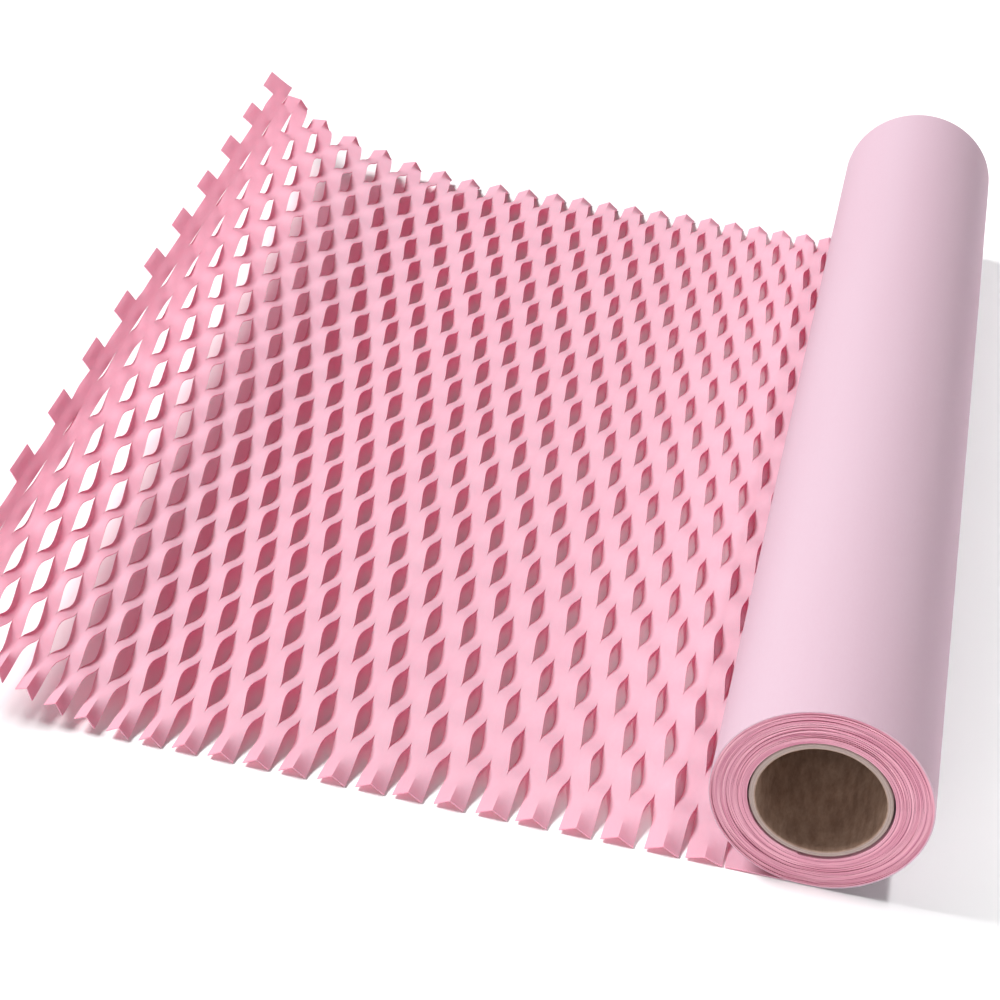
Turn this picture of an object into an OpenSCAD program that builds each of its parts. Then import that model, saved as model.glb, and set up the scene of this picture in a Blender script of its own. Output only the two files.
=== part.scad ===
// Honeycomb paper roll: slit kraft paper wound on a board core, with its loose
// end drawn out to the left and pulled open into slanting honeycomb strips.
// The roll lies along +Y, its open paper runs out towards -X, and +Z is up.
// The origin is on the floor, in the middle of the roll's flat underside.

/* [Roll] */
// Width of the paper, which is the length of the roll
paper_width = 300; // [120:1:500]
// Outer diameter of the wound paper
roll_dia = 44; // [38:0.5:90]
// How far the weight of the roll presses its underside flat
flat_sink = 0.3; // [0.1:0.05:0.8]

/* [Core] */
// Outer diameter of the board core
core_dia = 28; // [20:0.5:34]
// Wall of the board core
core_wall = 1.3; // [0.8:0.1:3]

/* [Turns] */
// Number of turns that stand out on each end of the roll
turns_shown = 13; // [4:1:18]
// How far the edges of the turns wander in and out of the end plane
turn_wander = 0.6; // [0.2:0.05:1.5]
// Width of the even band of turns next to the core
inner_band = 1.1; // [0.4:0.1:2]
// Width of the even band of turns at the outside
outer_band = 0.5; // [0.3:0.1:1.5]

/* [Slit paper] */
// Thickness of the paper
paper_t = 0.4; // [0.25:0.05:0.6]
// Width of the paper strip between two rows of slits
strip_width = 3.6; // [2.5:0.05:5]
// Pitch of the slits along a row, before it is fitted to the paper's width
slit_pitch = 26; // [26:0.5:80]
// Share of the pitch that each slit takes
slit_share = 0.667; // [0.58:0.001:0.8]
// Share of the pitch from the near edge to the first slit's middle
edge_lead = 0.292; // [0.26:0.002:0.36]

/* [Open sheet] */
// Number of paper strips drawn out of the roll
open_strips = 48; // [24:1:50]
// Slope of the strips where the paper is pulled open beside the roll
open_angle = 28.5; // [12:0.5:36]
// How much more the strips slope towards the free end
end_opening = 10; // [0:0.5:14]
// Number of strips over which the paper opens as it leaves the roll
opening_strips = 1.6; // [1:0.1:6]
// Number of strips near the free end that stay nearly closed
closed_strips = 3; // [1.5:0.1:5]
// Length of the free end that curls up off the floor
curl_length = 70; // [20:1:80]
// Slope of the sheet at its very end
curl_angle = 36; // [0:1:50]
// How much farther the far edge reaches than the near edge
skew = 20; // [0:1:40]
// How far the far edge draws in where the strips slope by open_angle
draw_in = 9; // [0:1:15]
// Length of the torn teeth along the free end
tooth_length = 2.6; // [1:0.1:3]

/* [Hidden] */

// Roll and core
roll_r = roll_dia / 2;
core_r = core_dia / 2;
axis_z = roll_r - flat_sink;
flat_half = sqrt(pow(roll_r, 2) - pow(axis_z, 2));
half_turn_r = roll_r - paper_t / 2;
turns_outer_r = roll_r - outer_band;
turn_step = (turns_outer_r - core_r - inner_band) / turns_shown;
round_fn = 96;
reach = 2 * roll_r;

// The angle by which each turn's edge is out of step with the last one
turn_phase = 137.5;

// Slit pattern: a whole number of half pitches fits across the paper, the middle
// of half pitch h is at slit_mid(h), and odd and even rows take turns at them
half_cells = round(2 * paper_width / slit_pitch);
pitch = 2 * paper_width / half_cells;
slit_half = slit_share * pitch / 2;
function slit_mid(h) = (edge_lead + h / 2) * pitch;

// Slope of the strips at slit row j, counted from the roll: nearly closed at the
// free end and where the roll leaves no room above them, but flat only at row 0
last_row = floor(open_strips);
pressed_strips = 2;
least_angle = 2;
press_gap = 0.12;
function room_under_roll(d) = axis_z - sqrt(max(0, pow(roll_r, 2) - pow(flat_half + d, 2)));
function pressed_slope(j) = asin(max(0, min(1,
    (room_under_roll((j - 1) * strip_width) - paper_t - press_gap) / (2 * strip_width))));
function ease(x) = x <= 0 ? 0 : 1 - exp(-x);
function pulled_slope(j) = open_angle + end_opening * pow(j / last_row, 3);
function slope_at(j) = j == 0 ? 0 : max(least_angle, min(pressed_slope(j), pulled_slope(j)
    * ease((j - pressed_strips) / opening_strips)
    * ease(pow((last_row - j) / closed_strips, 2))));
slope = [for (j = [0:last_row]) slope_at(j)];

// Distance of each slit row from the roll: a strip takes more room as it tips
row_d = [for (j = 0, d = 0; j <= last_row; d = d + strip_width / cos(slope_at(j)), j = j + 1) d];

// The floor line of the sheet: flat, then rolled up on a curve of one radius
curl_start = row_d[last_row] - curl_length;
function sheet_angle(d) = curl_angle * max(0, d - curl_start) / curl_length;
function arc_ratio(a) = a < 0.01 ? 1 : sin(a) / (a * PI / 180);
function floor_x(d) = min(d, curl_start)
    + max(0, d - curl_start) * arc_ratio(sheet_angle(d));
function floor_z(d) = max(0, d - curl_start) * arc_ratio(sheet_angle(d) / 2) * sin(sheet_angle(d) / 2);

// Height of the slit rows over the floor line
rise = [for (a = slope) strip_width * sin(a) + paper_t / 2 * cos(a)];

// A point near row j: u along the sheet, v off the sheet, side is -1 under the
// paper and 1 over it, y across the web before the far edge draws in
function place(j, u, v, y, side) =
    let (a = sheet_angle(row_d[j]),
         su = u + side * paper_t / 2 * sin(slope[j]),
         sv = v + side * paper_t / 2 * cos(slope[j]),
         out = floor_x(row_d[j]) + su * cos(a) - sv * sin(a),
         up = floor_z(row_d[j]) + su * sin(a) + sv * cos(a),
         span = floor_x(row_d[last_row]),
         open_share = slope[j] / open_angle)
    [-flat_half - out - skew * (y / paper_width - 0.5) * pow(max(0, out) / span, 2),
     y * (1 - draw_in / paper_width * open_share) - paper_width / 2,
     up];

// At the web's edges a pair of joined strips lies down as a low roof: the heights
// of its ridge and of its outer edge are shares of the slit rows' height
roof_ridge = 0.7;
roof_outer = 0.36;
function roof_height(j, share) = max(paper_t / 2, share * rise[j]);
function roof_reach(j, drop) = sqrt(pow(strip_width, 2) - pow(drop * rise[j], 2));

// The points of slit row j. A joined point serves both strips, and a split one
// has a point for the inner strip's low edge and one for the outer's high edge:
// each joined pair of strips slopes up towards the roll.
function joined(j, y, side) = place(j, 0, rise[j], y, side);
function low_edge(j, y, side) = j == 0 ? joined(j, y, side)
    : place(j - 1, strip_width * cos(slope[j - 1]), rise[j - 1] - strip_width * sin(slope[j - 1]), y, side);
function high_edge(j, y, side) = j == last_row || j == 0 ? joined(j, y, side)
    : place(j + 1, -strip_width * cos(slope[j + 1]), rise[j + 1] + strip_width * sin(slope[j + 1]), y, side);
function roof_top(j, y, side) = place(j, 0, roof_height(j, roof_ridge), y, side);
function roof_outer_corner(j, y, side) = j == 0 ? joined(j, y, side)
    : place(j - 1, roof_reach(j - 1, roof_ridge - roof_outer), roof_height(j - 1, roof_outer), y, side);
function roof_inner_corner(j, y, side) = j == last_row || j == 0 ? joined(j, y, side)
    : place(j + 1, -roof_reach(j + 1, roof_ridge), roof_height(j + 1, 0), y, side);

// Stations along a row: 0 is the near edge, then three for each slit (its near
// tip, its middle and its far tip), and the last is the far edge
function first_slit(j) = (j + 1) % 2;
function slit_count(j) = floor((half_cells - 1 - first_slit(j)) / 2) + 1;
function own_slit(j, h) = h >= 0 && h < half_cells && (h - first_slit(j)) % 2 == 0;
stations = 3 * ceil(half_cells / 2) + 2;
function far_edge(j) = 3 * slit_count(j) + 1;
function slit_station(j, h, part) = 3 * (h - first_slit(j)) / 2 + 1 + part;
function opens_near(j) = first_slit(j) == 0;
function opens_far(j) = own_slit(j, half_cells - 1);
function station_y(j, i) = i == 0 ? 0 : i >= far_edge(j) ? paper_width :
    let (h = 2 * floor((i - 1) / 3) + first_slit(j))
    max(0, min(paper_width, slit_mid(h) + slit_half * ((i - 1) % 3 - 1)));
function is_mid(i) = i > 0 && (i - 1) % 3 == 1;
function is_split(j, i) = i == 0 ? opens_near(j) : i == far_edge(j) ? opens_far(j) : is_mid(i);

function row_point(j, i, outer, side) =
    let (y = station_y(j, i), edge = i == 0 || i >= far_edge(j))
    !is_split(j, i) ? (edge && j > 0 ? roof_top(j, y, side) : joined(j, y, side))
    : edge ? (outer ? roof_inner_corner(j, y, side) : roof_outer_corner(j, y, side))
    : outer ? high_edge(j, y, side) : low_edge(j, y, side);

row_points = [for (j = [0:last_row], i = [0:stations - 1], outer = [0, 1], side = [-1, 1])
    row_point(j, i, outer == 1, side)];
function point_of(j, i, outer, side) =
    4 * (stations * j + i) + (is_split(j, i) && outer ? 2 : 0) + side;

// Two layers of a strip's triangle, and the wall along one of its open edges
function layers(a) = [[for (p = a) p + 1], [a[2], a[1], a[0]]];
function wall(a, b) = [[a, b, b + 1], [a, b + 1, a + 1]];

// Strip j lies between row j, its near chain, and row j + 1, its far chain
function near_pt(j, i) = point_of(j, i, true, 0);
function far_pt(j, i) = point_of(j + 1, i, false, 0);
function pt(j, r, i) = r == 0 ? near_pt(j, i) : far_pt(j, i);
function turned(r, a) = r == 0 ? a : [a[2], a[1], a[0]];

function strip_faces(j) = [for (h = [0:half_cells - 1])
    let (r = own_slit(j, h) ? 0 : 1, own = j + r, other = j + 1 - r,
         mid = pt(j, r, slit_station(own, h, 1)),
         before = h == 0 ? pt(j, 1 - r, 0) : pt(j, 1 - r, slit_station(other, h - 1, 2)),
         after = h == half_cells - 1 ? pt(j, 1 - r, far_edge(other))
             : pt(j, 1 - r, slit_station(other, h + 1, 0)))
    each concat(
        layers(turned(r, [mid, before, after])),
        h == 0 ? layers(turned(r, [pt(j, r, 0), before, mid])) : [],
        h == half_cells - 1 ? layers(turned(r, [mid, after, pt(j, r, far_edge(own))]))
            : concat(layers(turned(r, [mid, after, pt(j, r, slit_station(own, h, 2))])),
                     layers(turned(r, [pt(j, r, slit_station(own, h, 2)), after,
                                       pt(j, 1 - r, slit_station(other, h + 1, 1))]))))];

// Walls along the slits of row j, on the inner strip's and the outer strip's side
function slit_walls(j, outer) = [for (h = [first_slit(j):2:half_cells - 1])
    let (m = point_of(j, slit_station(j, h, 1), outer, 0),
         a = h == 0 ? point_of(j, 0, outer, 0) : point_of(j, slit_station(j, h, 0), outer, 0),
         b = h == half_cells - 1 ? point_of(j, far_edge(j), outer, 0)
             : point_of(j, slit_station(j, h, 2), outer, 0))
    each outer ? concat(wall(m, a), wall(b, m)) : concat(wall(a, m), wall(m, b))];

// Where a row stays joined between its slits
function joint_spans(j) = concat(
    opens_near(j) ? [] : [[point_of(j, 0, true, 0), point_of(j, slit_station(j, first_slit(j), 0), true, 0)]],
    [for (h = [first_slit(j):2:half_cells - 3])
        [point_of(j, slit_station(j, h, 2), true, 0), point_of(j, slit_station(j, h + 2, 0), true, 0)]],
    opens_far(j) ? [] : [[point_of(j, slit_station(j, half_cells - 2, 2), true, 0),
                          point_of(j, far_edge(j), true, 0)]]);

// Torn teeth stand on the joints of the last row
tooth_lean = 1.2;
tooth_spans = joint_spans(last_row);
tooth_base = len(row_points);
function station_of(p) = floor(p / 4) - stations * last_row;
tooth_points = [for (s = tooth_spans, end = [0, 1], side = [-1, 1])
    place(last_row, tooth_length, rise[last_row],
          max(0, min(paper_width, station_y(last_row, station_of(s[end])) + tooth_lean)), side)];
tooth_faces = [for (n = [0:len(tooth_spans) - 1])
    let (a = tooth_spans[n][0], b = tooth_spans[n][1], c = tooth_base + 4 * n, d = c + 2)
    each concat(layers([a, c, d]), layers([a, d, b]), wall(a, c), wall(c, d), wall(d, b))];

function edge_walls(j) = concat(wall(near_pt(j, 0), far_pt(j, 0)),
    wall(far_pt(j, far_edge(j + 1)), near_pt(j, far_edge(j))));

sheet_faces = concat(
    [for (j = [0:last_row - 1]) each strip_faces(j)],
    [for (j = [0:last_row]) each concat(j > 0 ? slit_walls(j, false) : [], j < last_row ? slit_walls(j, true) : [])],
    [for (s = joint_spans(0)) each wall(s[1], s[0])],
    [for (j = [0:last_row - 1]) each edge_walls(j)],
    tooth_faces);

// A bar along the roll, about its axis or lifted off it
module bar(r, length, lift = 0) {
    translate([0, 0, axis_z + lift]) rotate([-90, 0, 0])
        cylinder(h = length, r = r, center = true, $fn = round_fn);
}

// Core: a board tube, as long as the paper is wide
module core_tube() {
    color("tan")
    difference() {
        bar(core_r, paper_width);
        bar(core_r - core_wall, paper_width + 2);
    }
}

// The last turn is two half turns about centres half a paper apart, so the paper
// ends its turn one thickness lower than it began and runs out under the roll
module half_turn(r, lift, side, underside) {
    intersection() {
        bar(r, paper_width, lift);
        translate([side > 0 ? 0 : -reach, -paper_width / 2 - 1, underside])
            cube([reach, paper_width + 2, 2 * reach]);
    }
}

// The edges of the turns stand in and out of the end plane, one after the other
function turn_edge(i) = turn_wander * (1.1 + sin(turn_phase * i)) / 2;
module turn_edges(phase) {
    first_r = core_r + inner_band;
    steps = [for (i = [0:turns_shown - 1], k = [0, 1])
        [first_r + turn_step * (i + k), turn_edge(i + phase)]];
    translate([0, 0, -paper_width / 2])
        rotate_extrude($fn = round_fn)
            polygon(concat([[first_r, -1]], steps, [[turns_outer_r, -1]]));
}

module wound_paper() {
    color("pink")
    difference() {
        union() {
            half_turn(roll_r, 0, 1, 0);
            half_turn(half_turn_r, paper_t / 2, -1, paper_t);
            translate([-flat_half, -paper_width / 2, 0])
                cube([flat_half, paper_width, paper_t]);
        }
        bar(core_r, paper_width + 2);
        translate([0, 0, axis_z]) rotate([-90, 0, 0]) turn_edges(0);
        translate([0, 0, axis_z]) rotate([90, 0, 0]) turn_edges(turns_shown);
    }
}

// The open paper starts face to face with the end of the last turn's flat stretch
module open_paper() {
    color("lightpink")
    polyhedron(points = concat(row_points, tooth_points), faces = sheet_faces, convexity = 20);
}

core_tube();
wound_paper();
open_paper();
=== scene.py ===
# Honeycomb paper roll: slit pink paper wound on a board core. Its loose end is
# drawn out to the left and pulled open, so that its strips tip up in slanting cells.
import math

import bpy
from mathutils import Matrix, Vector


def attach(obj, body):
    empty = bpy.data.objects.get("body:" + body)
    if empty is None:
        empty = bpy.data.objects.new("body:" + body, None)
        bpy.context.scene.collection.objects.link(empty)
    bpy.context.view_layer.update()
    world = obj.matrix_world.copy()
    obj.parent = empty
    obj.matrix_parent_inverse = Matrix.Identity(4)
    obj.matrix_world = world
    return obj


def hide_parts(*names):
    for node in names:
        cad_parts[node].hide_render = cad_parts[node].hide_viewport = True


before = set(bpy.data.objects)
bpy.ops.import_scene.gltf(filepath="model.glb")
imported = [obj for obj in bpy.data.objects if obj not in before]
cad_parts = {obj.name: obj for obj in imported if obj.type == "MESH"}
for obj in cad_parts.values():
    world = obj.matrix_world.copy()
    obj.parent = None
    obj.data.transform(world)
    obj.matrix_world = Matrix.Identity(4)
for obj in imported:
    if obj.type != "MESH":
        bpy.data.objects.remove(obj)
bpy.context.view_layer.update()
scene = bpy.context.scene


# Studio
# A white sweep on a table under soft daylight, with a long-lens camera that looks
# down along the roll from a little behind its near end.
class Wire:
    """A socket in a node tree. Sums on it add the tree's own Math nodes."""

    def __init__(self, tree, socket=None):
        self.tree, self.socket = tree, socket

    def node(self, kind, settings=None, values=None):
        """Adds a node of any kind, with its settings first and then its sockets."""
        made = self.tree.nodes.new(kind)
        for name, value in (settings or {}).items():
            setattr(made, name, value)
        for name, value in (values or {}).items():
            socket = self.found(made.inputs, name)
            if isinstance(value, Wire):
                self.tree.links.new(value.socket, socket)
            else:
                socket.default_value = value
        first = [s for s in made.outputs if s.enabled]
        return Wire(self.tree, first[0] if first else None)

    @staticmethod
    def found(sockets, name):
        if isinstance(name, int):
            return sockets[name]
        return next(s for s in sockets if s.name == name and s.enabled)

    def out(self, name):
        return Wire(self.tree, self.found(self.socket.node.outputs, name))

    def maths(self, operation, *others):
        values = dict(enumerate((self, *others)))
        return self.node("ShaderNodeMath", {"operation": operation}, values)

    def __add__(self, other):
        return self.maths("ADD", other)

    def __sub__(self, other):
        return self.maths("SUBTRACT", other)

    def __mul__(self, other):
        return self.maths("MULTIPLY", other)

    def __truediv__(self, other):
        return self.maths("DIVIDE", other)

    def __rsub__(self, other):
        return self.node("ShaderNodeMath", {"operation": "SUBTRACT"}, {0: other, 1: self})

    __radd__, __rmul__ = __add__, __mul__


def paint(name):
    """A material with an empty tree, and the wire that its nodes start from."""
    material = bpy.data.materials.new(name)
    material.use_nodes = True
    material.node_tree.nodes.clear()
    return material, Wire(material.node_tree)


def shade(wire, light, dark, share):
    """Mixes two colours by a share that varies over the surface."""
    settings = {"data_type": "RGBA", "clamp_factor": True}
    return wire.node("ShaderNodeMix", settings, {"Factor": share, "A": dark, "B": light})


def grain(wire, size, detail=2.0, stretch=(1, 1, 1), shift=(0, 0, 0)):
    """Noise whose marks are about size metres across, on the piece's own coordinates."""
    spot = wire.node("ShaderNodeTexCoord").out("Object")
    spot = wire.node("ShaderNodeMapping", {}, {"Vector": spot, "Scale": stretch, "Location": shift})
    values = {"Vector": spot, "Scale": 1 / size, "Detail": detail, "Roughness": 0.55}
    return wire.node("ShaderNodeTexNoise", {}, values)


floor_size = 8.0
signs = ((-1, -1), (1, -1), (1, 1), (-1, 1))
corners = [(x * floor_size / 2, y * floor_size / 2, -0.0002) for x, y in signs]
floor_mesh = bpy.data.meshes.new("floor")
floor_mesh.from_pydata(corners, [], [(0, 1, 2, 3)])
floor = bpy.data.objects.new("floor", floor_mesh)
scene.collection.objects.link(floor)
sweep, wire = paint("white sweep")
values = {"Base Color": (0.93, 0.93, 0.935, 1), "Roughness": 0.9, "Specular IOR Level": 0.1}
surface = wire.node("ShaderNodeBsdfPrincipled", {}, values)
wire.node("ShaderNodeOutputMaterial", {}, {"Surface": surface})
floor_mesh.materials.append(sweep)

world = bpy.data.worlds.new("soft daylight")
scene.world = world
world.use_nodes = True
world.node_tree.nodes.clear()
wire = Wire(world.node_tree)
sky = wire.node("ShaderNodeBackground", {}, {"Color": (1, 1, 1, 1), "Strength": 0.15})
wire.node("ShaderNodeOutputWorld", {}, {"Surface": sky})


def softbox(name, spot, aim, size, power, beam=180):
    """A rectangular lamp. A grid on it narrows its beam, given in degrees."""
    data = bpy.data.lights.new(name, "AREA")
    data.shape, data.size, data.size_y, data.energy = "RECTANGLE", size[0], size[1], power
    data.spread = math.radians(beam)
    lamp = bpy.data.objects.new(name, data)
    scene.collection.objects.link(lamp)
    lamp.location = spot
    lamp.rotation_euler = (Vector(aim) - Vector(spot)).to_track_quat("-Z", "Y").to_euler()


softbox("key window", (-1.45, 0.1, 1.65), (-0.08, 0, 0), (0.8, 0.8), 64)
softbox("front fill", (-0.3, -2.3, 0.5), (0.0, -0.15, 0.02), (1.2, 0.4), 24)
softbox("gridded lamp beside the roll", (0.60, 0, 1.25), (0.34, 0, 0), (1.6, 0.56), 4.5, 15)

camera_data = bpy.data.cameras.new("camera")
camera_data.sensor_width, camera_data.lens = 36, 75.771
camera_data.clip_start, camera_data.clip_end = 0.01, 20
camera = bpy.data.objects.new("camera", camera_data)
scene.collection.objects.link(camera)
yaw, pitch, roll = map(math.radians, (10.2167, 33.425, 5.047))
ahead = Vector((-math.sin(yaw) * math.cos(pitch), math.cos(yaw) * math.cos(pitch), -math.sin(pitch)))
level = Vector((math.cos(yaw), math.sin(yaw), 0))
lift = level.cross(ahead)
right = math.cos(roll) * level + math.sin(roll) * lift
above = -math.sin(roll) * level + math.cos(roll) * lift
camera.matrix_world = Matrix((right, above, -ahead)).transposed().to_4x4()
camera.location = (-0.01073, -0.46752, 0.28989)
scene.camera = camera
scene.view_settings.view_transform = "Standard"


# Board core
# A tube wound from grey-brown board and cut to the paper's width. Its rims are
# worn round, and the plies of the board show as lines on them.
paper_width = 0.3
roll_radius = 0.022
flat_sink = 0.0003
axis_height = roll_radius - flat_sink
core_radius, core_wall = 0.014, 0.0013
core_recess = 0.0002
core_sides = 128


def lathe(name, outline, sides):
    """A closed outline of (radius, place along the roll) points, turned about the roll's axis."""
    count = len(outline)
    points, faces = [], []
    for side in range(sides):
        turn = 2 * math.pi * side / sides
        for radius, along in outline:
            points.append((radius * math.cos(turn), along, axis_height + radius * math.sin(turn)))
        for k in range(count):
            here, there = side * count, (side + 1) % sides * count
            follow = (k + 1) % count
            faces.append((here + k, here + follow, there + follow, there + k))
    mesh = bpy.data.meshes.new(name)
    mesh.from_pydata(points, [], faces)
    piece = bpy.data.objects.new(name, mesh)
    scene.collection.objects.link(piece)
    return piece


core_end = paper_width / 2 - core_recess
rim = 0.00028
ply = 0.00043
outline = []
for end in (1, -1):
    outer_rim, inner_rim = [], []
    for k in range(5) if end > 0 else range(4, -1, -1):
        a, b = rim * (1 - math.cos(k * math.pi / 8)), rim * (1 - math.sin(k * math.pi / 8))
        outer_rim.append((core_radius - a, end * (core_end - b)))
        inner_rim.append((core_radius - core_wall + b, end * (core_end - a)))
    outline += outer_rim + inner_rim if end > 0 else inner_rim + outer_rim
core = lathe("core_tube_board", outline, core_sides)
core.data.shade_smooth()
core.data.set_sharp_from_angle(angle=math.radians(50))

board, wire = paint("grey-brown board")
place = wire.node("ShaderNodeTexCoord").out("Object")
split = wire.node("ShaderNodeSeparateXYZ", {}, {"Vector": place})
x, y, z = split.out("X"), split.out("Y"), split.out("Z") - axis_height
depth = (x * x + z * z).maths("SQRT") - (core_radius - core_wall)
inside = (0.0004 - depth) / 0.0004
inside = inside.maths("MAXIMUM", 0.0).maths("MINIMUM", 1.0)
fibres = grain(wire, 0.0016, 3, (1, 0.3, 1))
specks = grain(wire, 0.0005, 2, (1, 0.5, 1), (0.3, 0, 0))
plies = (depth * (2 * math.pi / ply) + grain(wire, 0.004) * 3).maths("SINE") * 0.5 + 0.5
rim_colour = shade(wire, (0.40, 0.31, 0.285, 1), (0.29, 0.22, 0.20, 1), plies * 0.6 + specks * 0.5 - 0.1)
mottle = (fibres * 2.4 - 0.8) * 0.7 + (specks * 2 - 0.7) * 0.3
bore_colour = shade(wire, (0.50, 0.34, 0.25, 1), (0.26, 0.16, 0.115, 1), mottle)
colour = shade(wire, bore_colour, rim_colour, inside)
values = {"Strength": 0.6, "Distance": 0.00012, "Height": fibres * 0.6 + specks * 0.4}
bump = wire.node("ShaderNodeBump", {}, values)
rough = specks * 0.15 + 0.78
values = {"Base Color": colour, "Roughness": rough, "Normal": bump, "Specular IOR Level": 0.25}
surface = wire.node("ShaderNodeBsdfPrincipled", {}, values)
wire.node("ShaderNodeOutputMaterial", {}, {"Surface": surface})
core.data.materials.append(board)
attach(core, "root")
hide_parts("core_tube")


# Wound paper
# Thin pink paper, wound tight on the core by machine, drawn as 31 turns. The turns'
# edges stand in and out a little, and the last one runs out under the roll.
paper_thickness = 0.00022


def smooth(share):
    """Eases a share from 0 to 1, level at both ends."""
    share = share.maths("MAXIMUM", 0.0).maths("MINIMUM", 1.0)
    return share * share * (3 - share * 2)


def pink_paper(name, light, dark, streaks, thin, cut=None):
    """Thin soft kraft paper: cloudy colour, fine fibres, and deep pink light through it.

    Where cut edges lie turn on turn, as on a roll's ends, they look deeper pink, with darker rings of
    painted shade between the turns.
    """
    material, wire = paint(name)
    clouds = grain(wire, 0.02, 3, streaks)
    fibres = grain(wire, 0.0007, 3, (1, 0.45, 1))
    share = clouds * 0.9 + fibres * 0.5 - 0.2
    colour = shade(wire, light, dark, share)
    if cut:
        place = wire.node("ShaderNodeTexCoord").out("Object")
        split = wire.node("ShaderNodeSeparateXYZ", {}, {"Vector": place})
        x, y, z = split.out("X"), split.out("Y").maths("ABSOLUTE"), split.out("Z") - axis_height
        radius = (x * x + z * z).maths("SQRT")
        spot = wire.node("ShaderNodeCombineXYZ", {}, {"X": radius * 2300, "Y": x * 60, "Z": z * 60})
        # Rings on the roll's ends: the darker rings are painted shade for turn edges set deeper between the
        # turns
        painted_ring_shade = wire.node("ShaderNodeTexNoise", {}, {"Vector": spot, "Scale": 1.0, "Detail": 2.0})
        near_end = smooth((y - (paper_width / 2 - 0.0016)) / 0.0008)
        inside = smooth((roll_radius - 0.00025 - radius) / 0.0002)
        ends = shade(wire, cut[0], cut[1], painted_ring_shade * 2.6 - 0.8)
        colour = shade(wire, ends, colour, near_end * inside)
    bump = wire.node("ShaderNodeBump", {}, {"Strength": 0.5, "Distance": 0.00006, "Height": fibres})
    rough = fibres * 0.2 + 0.62
    values = {"Base Color": colour, "Roughness": rough, "Normal": bump, "Specular IOR Level": 0.25}
    front = wire.node("ShaderNodeBsdfPrincipled", {}, values)
    through = wire.node("ShaderNodeBsdfTranslucent", {}, {"Color": (0.96, 0.22, 0.41, 1), "Normal": bump})
    both = wire.node("ShaderNodeMixShader", {}, {0: thin, 1: front, 2: through})
    wire.node("ShaderNodeOutputMaterial", {}, {"Surface": both})
    return material


def rule_tree(name, sizes):
    """A geometry tree with a named input for each size, and the wires of those inputs."""
    tree = bpy.data.node_groups.new(name, "GeometryNodeTree")
    for label, value in sizes.items():
        kind = "NodeSocketInt" if isinstance(value, int) else "NodeSocketFloat"
        tree.interface.new_socket(label, in_out="INPUT", socket_type=kind)
    tree.interface.new_socket("Mesh", in_out="OUTPUT", socket_type="NodeSocketGeometry")
    inlet = Wire(tree).node("NodeGroupInput")
    return tree, {label: inlet.out(label) for label in sizes}


def made_by(tree, name, sizes):
    """The plain mesh piece that a geometry tree makes from the given sizes."""
    piece = bpy.data.objects.new(name, bpy.data.meshes.new(name))
    scene.collection.objects.link(piece)
    modifier = piece.modifiers.new(name, "NODES")
    modifier.node_group = tree
    for item in tree.interface.items_tree:
        if item.in_out == "INPUT":
            modifier[item.identifier] = sizes[item.name]
    bpy.context.view_layer.update()
    evaluated = piece.evaluated_get(bpy.context.evaluated_depsgraph_get())
    mesh = bpy.data.meshes.new_from_object(evaluated)
    piece.modifiers.clear()
    piece.data = mesh
    return piece


def thicken(piece, thickness, crease):
    """Gives a one-ply piece the paper's thickness, with crisp edges past the crease angle."""
    solidify = piece.modifiers.new("thickness", "SOLIDIFY")
    solidify.thickness, solidify.offset = thickness, 0
    bpy.context.view_layer.update()
    evaluated = piece.evaluated_get(bpy.context.evaluated_depsgraph_get())
    mesh = bpy.data.meshes.new_from_object(evaluated)
    piece.modifiers.clear()
    piece.data = mesh
    mesh.shade_smooth()
    mesh.set_sharp_from_angle(angle=math.radians(crease))


def rise_and_fall(wire, stretch, seed, detail=1.0):
    """Smooth noise between about -0.5 and 0.5 along a run of places."""
    spot = wire.node("ShaderNodeCombineXYZ", {}, {"X": wire * stretch, "Y": seed})
    return wire.node("ShaderNodeTexNoise", {}, {"Vector": spot, "Scale": 1.0, "Detail": detail}) - 0.5


flat_half = math.sqrt(roll_radius**2 - axis_height**2)
wound_sizes = {
    "Turns": 31,
    "Steps in a turn": 96,
    "Inner radius": core_radius + 0.00035,
    "Outer radius": roll_radius - paper_thickness / 2,
    "Paper width": paper_width,
    "Thickness": paper_thickness,
    "Axis height": axis_height,
    "Last angle": -math.pi / 2 - math.asin(flat_half / roll_radius),
    "Wander": 0.0009,
    "Slack": 0.00016,
    "Ragged from": 0.13,
    "Ragged to": 0.95,
    "Plain to": 0.47,
    "Spacing in the flat": 0.962,
    "Seed": 4.0,
}
tree, size = rule_tree("Wound turns", wound_sizes)
wire = Wire(tree)
steps = size["Turns"] * size["Steps in a turn"] + 1
values = {"Size X": 1.0, "Size Y": 1.0, "Vertices X": steps, "Vertices Y": 4}
ribbon = wire.node("GeometryNodeMeshGrid", {}, values)
spot = wire.node("ShaderNodeSeparateXYZ", {}, {"Vector": wire.node("GeometryNodeInputPosition")})
run, across = spot.out("X") + 0.5, spot.out("Y") * 2
turn_number = run * size["Turns"]
angle = size["Last angle"] + (1 - run) * size["Turns"] * (2 * math.pi)
slack = rise_and_fall(turn_number, 0.9, size["Seed"]) * size["Slack"]
slack = slack * smooth(run * 12) * smooth((1 - run) * 10)
radius = size["Inner radius"] + (size["Outer radius"] - size["Inner radius"]) * run + slack
x = radius * angle.maths("COSINE")
z = size["Axis height"] + radius * angle.maths("SINE")
pressed = (size["Outer radius"] - radius) * size["Spacing in the flat"] + size["Thickness"] / 2
z = z.maths("MAXIMUM", pressed)
end = across.maths("SIGN")
edge = smooth((across.maths("ABSOLUTE") - 0.5) * 2)
ragged = rise_and_fall(turn_number, 1.9, size["Seed"] + end * 3, 2) + 0.25
ragged = ragged.maths("MAXIMUM", 0.0) * 1.5
ragged = ragged * smooth((run - size["Ragged from"]) * 12) * smooth((size["Ragged to"] - run) * 25)
y = end * (size["Paper width"] / 2 * edge - ragged * size["Wander"])
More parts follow.
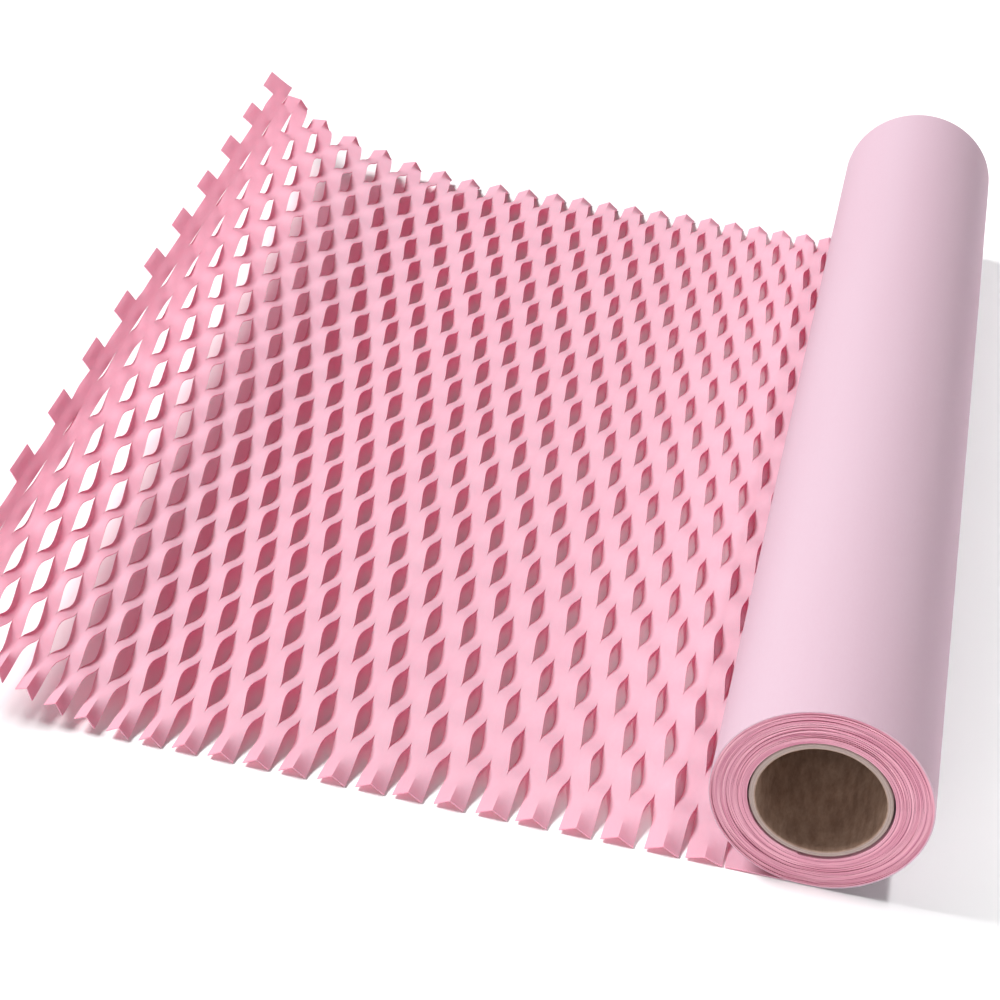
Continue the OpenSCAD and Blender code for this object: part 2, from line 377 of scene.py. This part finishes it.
y = y + (1 - edge) * end * size["Paper width"] * size["Plain to"]
place = wire.node("ShaderNodeCombineXYZ", {}, {"X": x, "Y": y, "Z": z})
laid = wire.node("GeometryNodeSetPosition", {}, {"Geometry": ribbon, "Position": place})
pale, deep = (0.60, 0.455, 0.53, 1), (0.57, 0.385, 0.465, 1)
# The cut ends' own deeper pink, and a darker colour that is painted shade for the rings between turns
cut_edges_and_ring_shade = (0.80, 0.42, 0.51, 1), (0.56, 0.20, 0.29, 1)
wound_pink = pink_paper("wound pink paper", pale, deep, (1, 0.12, 1), 0.12, cut_edges_and_ring_shade)
whole = wire.node("GeometryNodeRealizeInstances", {}, {"Geometry": laid})
done = wire.node("GeometryNodeSetMaterial", {}, {"Geometry": whole, "Material": wound_pink})
wire.node("NodeGroupOutput", {}, {"Mesh": done})
wound = made_by(tree, "wound_paper_turns", wound_sizes)
thicken(wound, paper_thickness, 50)
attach(wound, "root")
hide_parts("wound_paper")


# Open paper
# The same paper off the roll. Staggered rows of slits cut it into strips, and as
# it is pulled the strips tip in pairs and part along the slits into open cells.
open_sizes = {
    "Strips": 48,
    "Half cells": 23,
    "Steps in a half cell": 9,
    "Points across a strip": 5,
    "Strip width": 0.0036,
    "Paper width": paper_width,
    "Thickness": paper_thickness,
    "Slit share": 0.667,
    "Edge lead": 7 / 24,
    "Open angle": math.radians(28.5),
    "End opening": math.radians(16),
    "End narrowing": 0.07,
    "Opening strips": 1.6,
    "Pressed strips": 2.0,
    "Closed strips": 2.3,
    "Least angle": math.radians(2),
    "Press gap": 0.00052,
    "Curl length": 0.07,
    "Curl angle": math.radians(36),
    "Skew": 0.02,
    "Row lean": 2.8,
    "Draw in": 0.009,
    "Tooth length": 0.0034,
    "Tooth lean": 0.0012,
    "Edge curl": 0.0012,
    "Ridge height": 1.15,
    "Outer height": 0.3,
    "Drift": 0.0016,
    "Uneven slope": 0.22,
    "Torn from": 0.1,
    "Roll edge": flat_half,
    "Roll radius": roll_radius,
    "Axis height": axis_height,
    "Seed": 7.0,
}
tree, size = rule_tree("Slit paper", open_sizes)
wire = Wire(tree)
# One point for each strip, and one for the torn teeth, holds how far out it starts
values = {"Count": size["Strips"] + 1, "Offset": (0, 0, 0)}
rows = wire.node("GeometryNodeMeshLine", {"mode": "OFFSET"}, values)
number = wire.node("GeometryNodeInputIndex")


def ease(x):
    return 1 - (0 - x.maths("MAXIMUM", 0.0)).maths("EXPONENT")


def strip_of(row):
    """The width of a strip, which looks a little narrower where it is stretched most."""
    return size["Strip width"] * (1 - size["End narrowing"] * (row / size["Strips"]).maths("POWER", 3.0))


def slope_of(row):
    """How far the strips at a slit row tip up."""
    left = (size["Strips"] - row) / size["Closed strips"]
    share = ease((row - size["Pressed strips"]) / size["Opening strips"]) * ease(left * left)
    out = (row - 1) * size["Strip width"] + size["Roll edge"]
    above = size["Roll radius"] * size["Roll radius"] - out * out
    room = size["Axis height"] - above.maths("MAXIMUM", 0.0).maths("SQRT") - size["Press gap"]
    pressed = (room / (size["Strip width"] * 2)).maths("MAXIMUM", 0.0).maths("MINIMUM", 1.0).maths("ARCSINE")
    pulled = size["Open angle"] + size["End opening"] * (row / size["Strips"]).maths("POWER", 3.0)
    slope = (pulled * share).maths("MINIMUM", pressed).maths("MAXIMUM", size["Least angle"])
    return slope * row.maths("GREATER_THAN", 0.5)


length = strip_of(number) / slope_of(number).maths("COSINE")
length = length * number.maths("LESS_THAN", size["Strips"] - 0.5)
sums = wire.node("GeometryNodeAccumulateField", {"data_type": "FLOAT", "domain": "POINT"}, {"Value": length})
fields = {"row": number, "reach": sums.out("Total")}
fields |= {"starts": sums.out("Trailing"), "ends": sums.out("Leading")}
for label, field in fields.items():
    settings = {"data_type": "FLOAT", "domain": "POINT"}
    values = {"Geometry": rows, "Name": label, "Value": field}
    rows = wire.node("GeometryNodeStoreNamedAttribute", settings, values)
steps = size["Half cells"] * size["Steps in a half cell"] + 1
values = {"Size X": 1.0, "Size Y": 1.0, "Vertices X": size["Points across a strip"], "Vertices Y": steps}
ribbon = wire.node("GeometryNodeMeshGrid", {}, values)
strips = wire.node("GeometryNodeInstanceOnPoints", {}, {"Points": rows, "Instance": ribbon})
strips = wire.node("GeometryNodeRealizeInstances", {}, {"Geometry": strips})


def kept(label):
    return wire.node("GeometryNodeInputNamedAttribute", {"data_type": "FLOAT"}, {"Name": label})


spot = wire.node("ShaderNodeSeparateXYZ", {}, {"Vector": wire.node("GeometryNodeInputPosition")})
share, across = spot.out("X") + 0.5, (spot.out("Y") + 0.5) * size["Paper width"]
row, starts, ends, reach = map(kept, ("row", "starts", "ends", "reach"))
pitch = size["Paper width"] * 2 / size["Half cells"]
last_slit = (size["Half cells"] - 1) / 2
cell = (across / pitch - size["Edge lead"]).maths("MAXIMUM", 0.0).maths("MINIMUM", last_slit)


def odd(row):
    return (row + 0.2).maths("MODULO", 2.0).maths("GREATER_THAN", 1.0)


def opening(row):
    """How far the slit of this row gapes at this place: 1 at its middle, 0 at its tips."""
    away = (cell + (1 - odd(row)) * 0.5).maths("PINGPONG", 0.5)
    return smooth(1 - away / (size["Slit share"] / 2)) * row.maths("GREATER_THAN", 0.5)


tooth = row.maths("GREATER_THAN", size["Strips"] - 0.5)
torn = tooth * opening(row).maths("GREATER_THAN", size["Torn from"])
strips = wire.node("GeometryNodeDeleteGeometry", {"domain": "FACE"}, {"Geometry": strips, "Selection": torn})
curl_start = reach - size["Curl length"]


def arc_ratio(turn):
    turn = turn + 0.0001
    return turn.maths("SINE") / turn


def floor_line(out):
    """The floor under the sheet: flat, and then rolled up at its free end."""
    past = (out - curl_start).maths("MAXIMUM", 0.0)
    turn = past / size["Curl length"] * size["Curl angle"]
    x = out.maths("MINIMUM", curl_start) + past * arc_ratio(turn)
    return turn, x, past * arc_ratio(turn / 2) * (turn / 2).maths("SINE")


span = floor_line(reach)[1]


def beside(row, out, along, off):
    """A place near a slit row: along the sheet and off it, in strip widths of its own slope."""
    drift = rise_and_fall(row * 0.31, 1.0, size["Seed"] + across * 18)
    tilt = rise_and_fall(row * 0.47 + 9, 1.0, size["Seed"] + across * 26) * size["Uneven slope"]
    slope = slope_of(row) * (1 + tilt)
    turn, x, z = floor_line(out + drift * size["Drift"] * smooth(row / 6))
    rise = strip_of(row) * slope.maths("SINE") + size["Thickness"] / 2
    u, v = along(slope, rise), off(slope, rise)
    sine, cosine = turn.maths("SINE"), turn.maths("COSINE")
    x, z = x + u * cosine - v * sine, z + u * sine + v * cosine
    bow = x.maths("MAXIMUM", 0.0) / span
    side = across / size["Paper width"] - 0.5
    sway = bow.maths("POWER", 4.0) - bow * (1 - bow) * size["Row lean"]
    drawn = slope / size["Open angle"] * size["Draw in"] / size["Paper width"]
    y = across * (1 - drawn) - size["Paper width"] / 2
    return 0 - size["Roll edge"] - x - size["Skew"] * side * sway, y, z


def between(a, b, share):
    return tuple(p + (q - p) * share for p, q in zip(a, b))


width = strip_of(row) * (1 - tooth) + size["Tooth length"] * tooth
back = share - 1
# A strip curls a little towards its free edge
inner_curl = size["Edge curl"] * share * share * (1 - share) * opening(row + 1)
outer_curl = size["Edge curl"] * back * back * share * opening(row)
falling = beside(row, starts, lambda slope, rise: share * width * slope.maths("COSINE"),
                 lambda slope, rise: rise - share * width * slope.maths("SINE") + inner_curl)
rising = beside(row + 1, ends, lambda slope, rise: back * width * slope.maths("COSINE"),
                lambda slope, rise: rise - back * width * slope.maths("SINE") + outer_curl)
turned = ((1 - share) * opening(row) + share * (1 - opening(row + 1))) * (1 - tooth)
strip = between(falling, rising, turned)
# Along both edges of the web each joined pair lies down as a low roof
ridge = row + odd(row)
out = starts + (ends - starts) * odd(row)
outer = 1 - odd(row)


def roof_along(slope, rise):
    drop = (size["Ridge height"] - size["Outer height"] * outer) * rise
    reach = (width * width - drop * drop).maths("SQRT")
    return reach * (share * outer + back * (1 - outer))


def roof_off(slope, rise):
    outwards = size["Ridge height"] + (size["Outer height"] - size["Ridge height"]) * share
    height = outwards * outer + size["Ridge height"] * share * (1 - outer)
    return (height * rise).maths("MAXIMUM", size["Thickness"] / 2)


roof = beside(ridge, out, roof_along, roof_off)
near_zone = (size["Edge lead"] + 0.5 - size["Slit share"] / 2) * pitch
far_zone = (0.5 - size["Edge lead"] + 0.5 - size["Slit share"] / 2) * pitch
near_edge = smooth(1 - across / near_zone)
far_edge = smooth(1 - (size["Paper width"] - across) / far_zone)
x, y, z = between(strip, roof, near_edge + far_edge)
place = wire.node("ShaderNodeCombineXYZ", {}, {"X": x, "Y": y + tooth * share * size["Tooth lean"], "Z": z})
strips = wire.node("GeometryNodeSetPosition", {}, {"Geometry": strips, "Position": place})
strips = wire.node("GeometryNodeMergeByDistance", {}, {"Geometry": strips, "Distance": 0.00002})
open_pink = pink_paper("open pink paper", (0.87, 0.72, 0.82, 1), (0.81, 0.58, 0.70, 1), (1, 1, 1), 0.47)
strips = wire.node("GeometryNodeSetMaterial", {}, {"Geometry": strips, "Material": open_pink})
wire.node("NodeGroupOutput", {}, {"Mesh": strips})
sheet = made_by(tree, "open_paper_cells", open_sizes)
thicken(sheet, paper_thickness, 26)
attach(sheet, "root")
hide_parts("open_paper")
